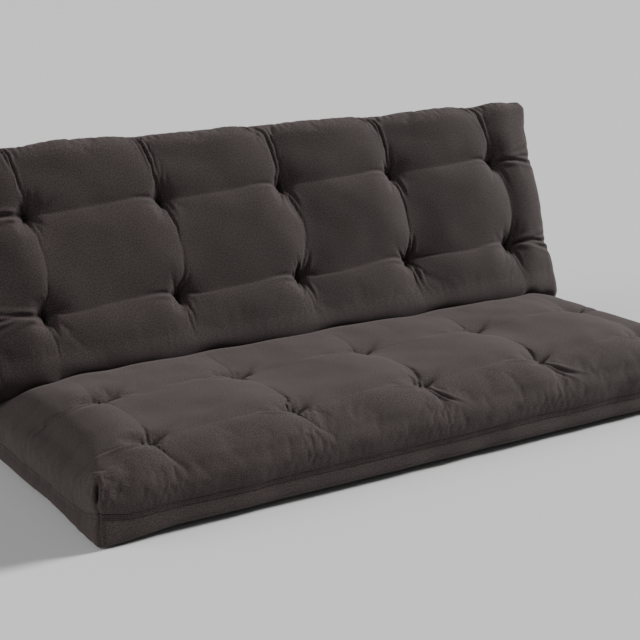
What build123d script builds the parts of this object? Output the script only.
"""A tufted futon mattress, folded into a seat and a leaning back.

Each half is built on its own plane: x along the mattress, y from the fold outwards, z from the
underside to the side that is sat on. The two halves share every layer, and turn about the fold axis,
which runs along the mattress at the middle of its thickness.
Frame: +X along the mattress, -Y to the front, +Z up. Origin: on the floor, under the middle of the
whole folded mattress.
"""

from build123d import *
import os
from math import atan2, cos, radians, sin, tan

os.makedirs("parts", exist_ok=True)

# Overall size, laid flat
mattress_length = 1905.0
mattress_width = 1372.0
mattress_thickness = 203.0
corner_radius = 55.0  # the upright corners, seen from above
edge_radius = 36.0  # the soft long edges

# Fold
back_lean = 21.5  # degrees behind upright
fold_gap = 3.0  # from each half to the plane that it folds on

# Case
case_ply = 1.2
seam_height = 68.0  # from the underside to the middle of the felled seam
seam_width = 13.0
seam_ply = 3.2  # the folded plies of the felled seam

# Filling
batting_thickness = 42.0
foam_thickness = 38.0
filling_ease = 0.2  # between the filling and the case or its seam

# Tufts
tuft_columns = 5
tuft_column_pitch = 390.0
tuft_rows = 2  # on each half, besides the row on the fold
seat_inner_row = 305.0  # from the fold
seat_row_pitch = 287.0
back_inner_row = 236.0
back_row_pitch = 268.0
upper_hollow_depth = 30.0
upper_hollow_mouth = 52.0  # radius
upper_hollow_floor = 10.0
lower_hollow_depth = 15.0
lower_hollow_mouth = 38.0
twine_radius = 1.1
twine_bend = 2.6  # radius of the twine's middle line where it turns
strand_spacing = 14.0
needle_ease = 0.4  # between a strand and the hole it passes through
washer_radius = 14.0
washer_thickness = 3.0
washer_ease = 1.0  # between a washer and the rim of the hollow it lies in
stitch_ease = 0.1  # between the twine and the cloth or felt that it lies on
fold_stitch_height = 42.0  # from the fold axis up the fold to the twine's upper stitch

# Worked out from the sizes above
half_width = mattress_width / 2
fold_turn = radians(90 - back_lean)  # between the flat mattress and the folded one
lean = radians(back_lean)
fold_height = mattress_thickness / 2
seam_low = seam_height - seam_width / 2
seam_high = seam_height + seam_width / 2
filling_side = seam_ply + filling_ease
filling_face = case_ply + filling_ease
lower_hollow_floor = washer_radius + washer_ease
core_low = filling_face + batting_thickness + foam_thickness
core_high = mattress_thickness - core_low

# The mattress reaches from the front of the seat to the rounded rear edge of the back's top.
back_reach = (half_width - edge_radius) * sin(lean) + (fold_height - edge_radius) * cos(lean) + edge_radius
fold_y = (half_width - back_reach) / 2

seat_half = Plane(origin=(0, fold_y, 0), x_dir=(-1, 0, 0), z_dir=(0, 0, 1))
back_face = Vector(0, -cos(lean), sin(lean))
back_half = Plane(
    origin=Vector(0, fold_y, fold_height) - back_face * fold_height,
    x_dir=(1, 0, 0),
    z_dir=back_face,
)
halves = {
    "seat": (seat_half, seat_inner_row, seat_row_pitch),
    "back": (back_half, back_inner_row, back_row_pitch),
}


def side_of(half):
    """The plane of a half's cross-section: x outwards from the fold, y up its thickness."""
    return Plane(origin=half.origin, x_dir=half.y_dir, z_dir=half.x_dir)


def tuft_grid(inner_row, row_pitch):
    """Where one half's tufts are, on its own plane."""
    middle_row = inner_row + row_pitch * (tuft_rows - 1) / 2
    grid = GridLocations(tuft_column_pitch, row_pitch, tuft_columns, tuft_rows)
    return [(place.position.X, place.position.Y + middle_row) for place in grid]


def fold_grid():
    """Where the tufts of the row on the fold are."""
    return [(place.position.X, 0) for place in GridLocations(tuft_column_pitch, 1, tuft_columns, 1)]


def hollow(depth, mouth, floor, inset):
    """A tuft's hollow, point down from the plane it is placed on, widened for a ply of cloth."""
    slope = atan2(depth, mouth - floor)
    grow = inset * tan(slope / 2)
    Cone(
        bottom_radius=floor + grow,
        top_radius=mouth + grow,
        height=depth,
        align=(Align.CENTER, Align.CENTER, Align.MIN),
        mode=Mode.SUBTRACT,
    )


def soft_block(half, tufts, side_inset, face_inset):
    """The whole mattress on one half's plane, pulled in at its sides and faces, with its hollows."""
    thickness = mattress_thickness - 2 * face_inset
    with BuildPart() as block:
        with BuildSketch(half.offset(face_inset)):
            RectangleRounded(
                mattress_length - 2 * side_inset,
                mattress_width - 2 * side_inset,
                corner_radius - side_inset,
            )
        extrude(amount=thickness)
        faces = block.faces().filter_by(Axis(half.origin, half.z_dir))
        fillet(faces.edges(), edge_radius - side_inset)
        upper_floor = half.offset(mattress_thickness - face_inset - upper_hollow_depth)
        with Locations(*[upper_floor * Location((x, y, 0)) for x, y in tufts]):
            hollow(upper_hollow_depth, upper_hollow_mouth, upper_hollow_floor, face_inset)
        lower_floor = half.offset(face_inset + lower_hollow_depth)
        lower_tufts = tufts + fold_grid()
        with Locations(*[lower_floor * Location((x, y, 0), (180, 0, 0)) for x, y in lower_tufts]):
            hollow(lower_hollow_depth, lower_hollow_mouth, lower_hollow_floor, face_inset)
    return block.part


def cut_to_half(half):
    """Keep one half: upright below the fold axis, and above it slanted to meet the other half."""
    slant = fold_turn / 2
    upper_start = fold_gap / cos(slant) + (mattress_thickness - fold_height) * tan(slant)
    with BuildSketch(side_of(half)) as profile:
        Polygon(
            (fold_gap, 0),
            (half_width, 0),
            (half_width, mattress_thickness),
            (upper_start, mattress_thickness),
            (fold_gap, fold_height - fold_gap * tan(slant / 2)),
            align=None,
        )
    extrude(profile.sketch, amount=mattress_length / 2, both=True, mode=Mode.INTERSECT)


def cut_to_level(half, low, high):
    """Keep what lies between two heights above the underside."""
    with BuildSketch(half.offset(low)) as level:
        Rectangle(mattress_length, mattress_width)
    extrude(level.sketch, amount=high - low, mode=Mode.INTERSECT)


def cut_needle_holes(half, tufts):
    """The slots that the two strands of each tuft's twine pass through."""
    width = strand_spacing + 2 * (twine_radius + needle_ease)
    with BuildSketch(half) as slots:
        with Locations(*tufts):
            SlotOverall(width, 2 * (twine_radius + needle_ease))
    extrude(slots.sketch, amount=mattress_thickness, mode=Mode.SUBTRACT)


def twine_loop(points):
    """One closed loop of twine along a bent path."""
    with BuildLine() as path:
        FilletPolyline(*points, radius=twine_bend, close=True)
    with BuildSketch(Plane(origin=path.line @ 0, z_dir=path.line % 0)) as section:
        Circle(twine_radius)
    sweep(section.sketch, path=path.line)


def save(piece, label):
    """Name a finished piece and write it."""
    piece.part.label = label
    export_step(piece.part, f"parts/{label}.step")


# The case, its felled seam, and the layers of filling, on each half
filling_levels = {
    "bottom_batting": (filling_face, filling_face + batting_thickness),
    "lower_foam": (filling_face + batting_thickness, core_low),
    "core_batting": (core_low, core_high),
    "upper_foam": (core_high, core_high + foam_thickness),
    "top_batting": (core_high + foam_thickness, mattress_thickness - filling_face),
}
case_levels = {
    "lower_case": (0, seam_low, case_ply),
    "seam_band": (seam_low, seam_high, seam_ply),
    "upper_case": (seam_high, mattress_thickness, case_ply),
}

for half_name, (half, inner_row, row_pitch) in halves.items():
    tufts = tuft_grid(inner_row, row_pitch)
    outer_block = soft_block(half, tufts, 0, 0)
    case_lining = soft_block(half, tufts, case_ply, case_ply)
    seam_lining = soft_block(half, tufts, seam_ply, case_ply)
    filling_block = soft_block(half, tufts, filling_side, filling_face)

    for case_name, (low, high, ply) in case_levels.items():
        with BuildPart() as case_piece:
            add(outer_block)
            add(case_lining if ply == case_ply else seam_lining, mode=Mode.SUBTRACT)
            cut_to_level(half, low, high)
            cut_to_half(half)
            cut_needle_holes(half, tufts)
        save(case_piece, f"{half_name}_{case_name}")

    for layer_name, (low, high) in filling_levels.items():
        with BuildPart() as layer:
            add(filling_block)
            cut_to_level(half, low, high)
            cut_to_half(half)
            cut_needle_holes(half, tufts)
        save(layer, f"{half_name}_{layer_name}")

# The tufts: twine that holds the case faces together, over a felt washer on the underside
strand = strand_spacing / 2
washer_level = lower_hollow_depth - stitch_ease - washer_thickness
lower_stitch = washer_level - stitch_ease - twine_radius
upper_stitch = mattress_thickness - upper_hollow_depth + stitch_ease + twine_radius


def washers(half, tufts):
    """Felt washers in the hollows of the underside."""
    with BuildSketch(half.offset(washer_level)) as discs:
        with Locations(*tufts):
            Circle(washer_radius)
            SlotOverall(
                strand_spacing + 2 * (twine_radius + needle_ease),
                2 * (twine_radius + needle_ease),
                mode=Mode.SUBTRACT,
            )
    extrude(discs.sketch, amount=washer_thickness)


for half_name, (half, inner_row, row_pitch) in halves.items():
    tufts = tuft_grid(inner_row, row_pitch)
    with BuildPart() as tuft_twine:
        for x, y in tufts:
            corners = [
                (x - strand, y, lower_stitch),
                (x - strand, y, upper_stitch),
                (x + strand, y, upper_stitch),
                (x + strand, y, lower_stitch),
            ]
            twine_loop([half.from_local_coords(corner) for corner in corners])
    save(tuft_twine, f"{half_name}_tuft_twine")

    with BuildPart() as tuft_washers:
        washers(half, tufts)
    save(tuft_washers, f"{half_name}_tuft_washers")

# The row of tufts on the fold lies between the two halves and stays with the seat.
fold_rise = fold_stitch_height * cos(fold_turn / 2)
fold_run = fold_stitch_height * sin(fold_turn / 2)
with BuildPart() as fold_tuft_twine:
    for x, y in fold_grid():
        corners = [
            (x - strand, y, lower_stitch),
            (x - strand, y, fold_height),
            (x - strand, y + fold_run, fold_height + fold_rise),
            (x + strand, y + fold_run, fold_height + fold_rise),
            (x + strand, y, fold_height),
            (x + strand, y, lower_stitch),
        ]
        twine_loop([seat_half.from_local_coords(corner) for corner in corners])
save(fold_tuft_twine, "fold_tuft_twine")

with BuildPart() as fold_tuft_washers:
    washers(seat_half, fold_grid())
save(fold_tuft_washers, "fold_tuft_washers")
